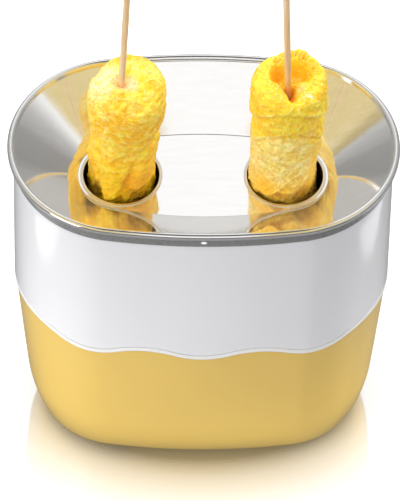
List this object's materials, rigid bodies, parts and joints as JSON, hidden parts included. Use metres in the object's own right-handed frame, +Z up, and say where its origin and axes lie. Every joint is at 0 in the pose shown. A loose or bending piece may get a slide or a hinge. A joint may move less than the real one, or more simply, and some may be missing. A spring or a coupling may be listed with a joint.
{
  "type": "egg roll maker",
  "caption": "Countertop egg roll maker: steel dish on a two-tone oval casing with upright heated tubes, each holding a skewered egg roll that lifts out.",
  "frame": {"origin": "centre of the footprint at table level, under the middle between the two tubes", "axes": "+Z up, +X to the maker's right seen from the front, -Y towards the front with the indicator window"},
  "size_m": [0.186, 0.114, 0.328],
  "materials": {
    "polished_steel": "mirror-polished stainless steel sheet",
    "band_grey": "dark grey satin plastic",
    "lens_clear": "clear glossy window",
    "lamp_white": "milky lamp",
    "shell_white": "glossy moulded plastic",
    "trim_white": "glossy moulded plastic",
    "shell_yellow": "glossy butter-yellow moulded plastic",
    "bush_grey": "grey plastic",
    "base_grey": "grey fine-grained plastic",
    "foot_rubber": "black rubber",
    "zinc_steel": "zinc-plated steel",
    "deck_steel": "galvanised steel sheet",
    "tube_alloy": "aluminium with a bright lip and a black non-stick inside",
    "silicone_seal": "pale silicone rubber",
    "ring_nut_alloy": "machined aluminium",
    "heater_steel": "stainless band with heat tint",
    "shield_alloy": "bright aluminium sheet",
    "wire_insulation": "braided glass-fibre sleeve",
    "thermostat_black": "black moulded phenolic",
    "fuse_grey": "ceramic barrel",
    "block_white": "off-white moulded insulator",
    "brass_screw": "plated brass",
    "bamboo": "smooth split bamboo",
    "cooked_egg_bright": "cooked egg, bright yellow with browned patches",
    "cooked_egg_pale": "cooked egg, paler and wrinkled"
  },
  "bodies": {
    "maker": {"steel_dish": "polished_steel", "rim_band": "band_grey", "indicator_lens": "lens_clear", "indicator_lamp": "lamp_white", "upper_shell": "shell_white", "seam_trim": "trim_white", "lower_shell": "shell_yellow", "cord_bush": "bush_grey", "base_plate": "base_grey", "foot_front_left": "foot_rubber", "foot_front_right": "foot_rubber", "foot_back_left": "foot_rubber", "foot_back_right": "foot_rubber", "tie_rods": "zinc_steel", "base_nuts": "zinc_steel", "deck_nuts": "zinc_steel", "heater_deck": "deck_steel", "cooking_tube_left": "tube_alloy", "cooking_tube_right": "tube_alloy", "tube_gasket_left": "silicone_seal", "tube_gasket_right": "silicone_seal", "tube_ring_nut_left": "ring_nut_alloy", "tube_ring_nut_right": "ring_nut_alloy", "heater_band_left": "heater_steel", "heater_band_right": "heater_steel", "heater_wire_left": "wire_insulation", "heater_wire_right": "wire_insulation", "clamp_screws": "zinc_steel", "heat_shield": "shield_alloy", "shield_rivets": "shield_alloy", "thermostat": "thermostat_black", "thermal_fuse": "fuse_grey", "fuse_clip": "deck_steel", "terminal_block": "block_white", "terminal_screws": "brass_screw", "fuse_wire": "wire_insulation", "thermostat_wire": "wire_insulation", "lamp_wire": "wire_insulation"},
    "left_roll": {"egg_roll_left": "cooked_egg_bright", "skewer_left": "bamboo"},
    "right_roll": {"egg_roll_right": "cooked_egg_pale", "skewer_right": "bamboo"}
  },
  "joints": [
    {"name": "left_roll_lift", "type": "slide", "parent": "maker", "child": "left_roll", "axis": [0, 0, 1], "range_m": [0, 0.12]},
    {"name": "right_roll_lift", "type": "slide", "parent": "maker", "child": "right_roll", "axis": [0, 0, 1], "range_m": [0, 0.12]}
  ]
}
